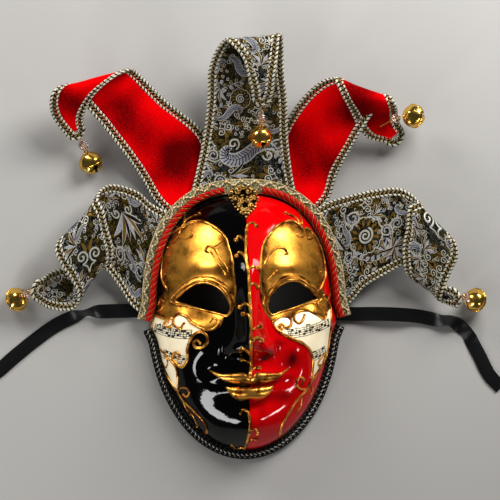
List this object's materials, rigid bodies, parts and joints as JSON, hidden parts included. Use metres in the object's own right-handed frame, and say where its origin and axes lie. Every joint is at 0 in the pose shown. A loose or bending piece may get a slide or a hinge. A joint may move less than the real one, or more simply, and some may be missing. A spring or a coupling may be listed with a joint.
{
  "type": "jester mask",
  "caption": "Hollow full-face carnival mask with eye holes, raised scrolls, folded cloth horns that end in jingle bells, and satin ties.",
  "frame": {"origin": "on the floor under the middle of the mask, ties left out, as it lies face up on its rim", "axes": "+Z out of the face, +Y towards the forehead, +X towards the right-hand side of the mask as seen from the front"},
  "size_m": [0.4805, 0.3836, 0.0872],
  "materials": {
    "lacquer": "gloss black and red lacquer over papier-mache",
    "aged_gold": "gold leaf with dark wax in the hollows",
    "red_satin": "satin cord twisted with gold",
    "cream_braid": "crinkled woven braid",
    "black_braid": "ribbed silver, gold and black braid",
    "red_velvet": "crushed velvet",
    "brocade": "brocade with silver scrolls on black",
    "polished_brass": "polished",
    "crystal": "faceted, clear with a pale pink tint",
    "gold_thread": "metallic thread",
    "black_satin": "satin ribbon"
  },
  "bodies": {
    "root": {"face_shell": "lacquer", "eye_rim_left": "aged_gold", "eye_rim_right": "aged_gold", "relief_eye_left": "aged_gold", "relief_eye_right": "aged_gold", "relief_cheek_left": "aged_gold", "relief_cheek_right": "aged_gold", "relief_jaw_left": "aged_gold", "relief_jaw_right": "aged_gold", "relief_center_line": "aged_gold", "relief_chin_line": "aged_gold", "lip_upper": "aged_gold", "lip_lower": "aged_gold", "crest_ornament": "aged_gold", "rope_left": "red_satin", "rope_right": "red_satin", "rim_gimp": "cream_braid", "chin_braid": "black_braid", "horn_center": "brocade", "horn_red_left": "red_velvet", "horn_red_right": "red_velvet", "horn_side_left": "brocade", "horn_side_right": "brocade", "braid_center": "black_braid", "braid_red_left": "black_braid", "braid_red_right": "black_braid", "braid_side_left": "black_braid", "braid_side_right": "black_braid", "thread_center": "gold_thread", "thread_red_left": "gold_thread", "thread_red_right": "gold_thread", "thread_side_left": "gold_thread", "thread_side_right": "gold_thread", "bead_center": "crystal", "bead_red_left": "crystal", "bead_red_right": "crystal", "bead_side_left": "crystal", "bead_side_right": "crystal", "bell_center": "polished_brass", "bell_red_left": "polished_brass", "bell_red_right": "polished_brass", "bell_side_left": "polished_brass", "bell_side_right": "polished_brass", "ribbon_left": "black_satin", "ribbon_right": "black_satin"}
  },
  "joints": []
}
